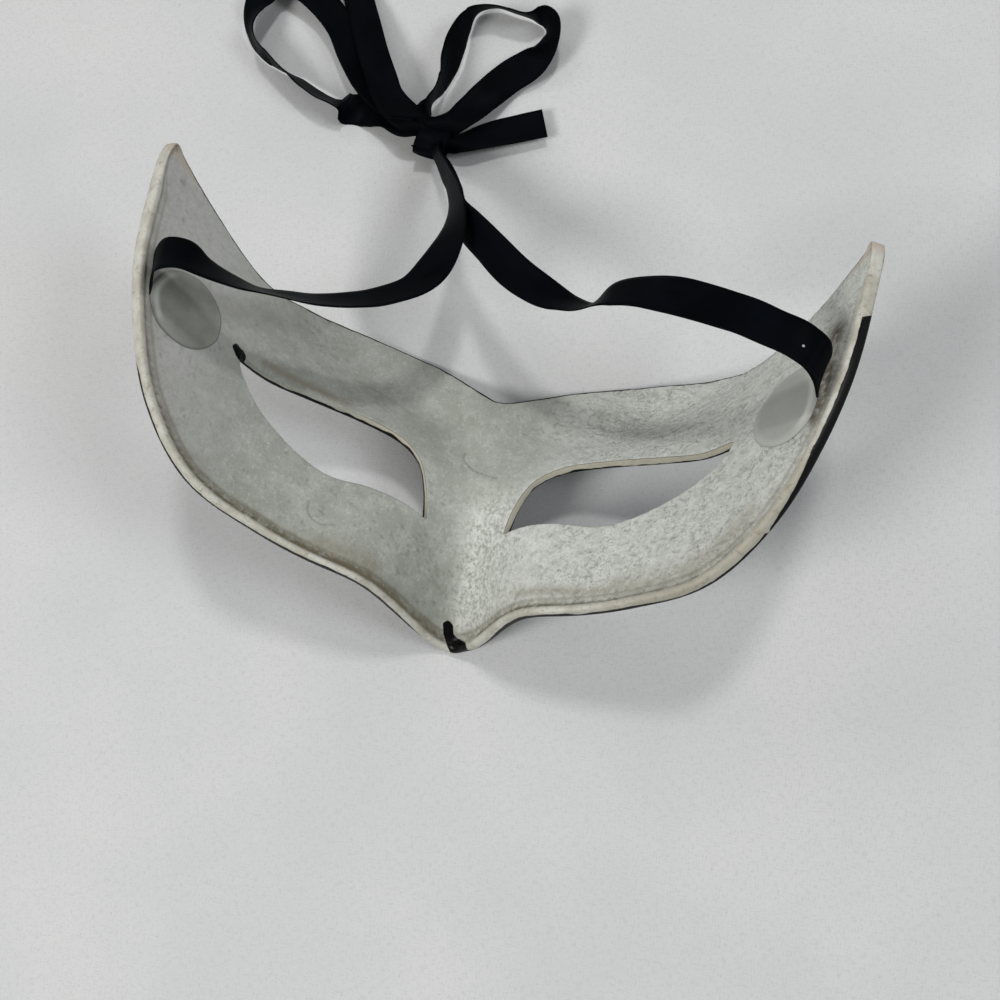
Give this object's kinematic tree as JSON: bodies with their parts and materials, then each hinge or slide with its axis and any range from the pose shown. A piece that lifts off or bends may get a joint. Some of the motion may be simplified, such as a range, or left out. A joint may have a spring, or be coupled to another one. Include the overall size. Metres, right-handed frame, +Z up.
{
  "type": "masquerade mask",
  "caption": "Moulded half mask with upswept pointed wings and slanted eye openings, lying face down, with ribbons from glued patches tied in a bow.",
  "frame": {"origin": "middle of the mask's footprint on the surface that it lies on, without the ribbons", "axes": "+X from the mask's left wing to its right wing as the wearer's side is seen, +Y from the nose tip to the brow, +Z up out of the wearer's side"},
  "size_m": [0.1955, 0.2214, 0.0753],
  "materials": {
    "gesso_paper": "chalky off-white gesso over paper pulp, pitted and grimy, black paint on the outer face",
    "glue_patch": "smooth translucent grey-green glued disc",
    "satin_ribbon": "near-black satin weave with a soft sheen"
  },
  "bodies": {
    "root": {"mask_shell": "gesso_paper", "patch_left": "glue_patch", "patch_right": "glue_patch", "ribbon_left_strand": "satin_ribbon", "ribbon_right_strand": "satin_ribbon", "ribbon_left_loop": "satin_ribbon", "ribbon_right_loop": "satin_ribbon", "ribbon_left_tail": "satin_ribbon", "ribbon_right_tail": "satin_ribbon", "ribbon_knot": "satin_ribbon"}
  },
  "joints": []
}
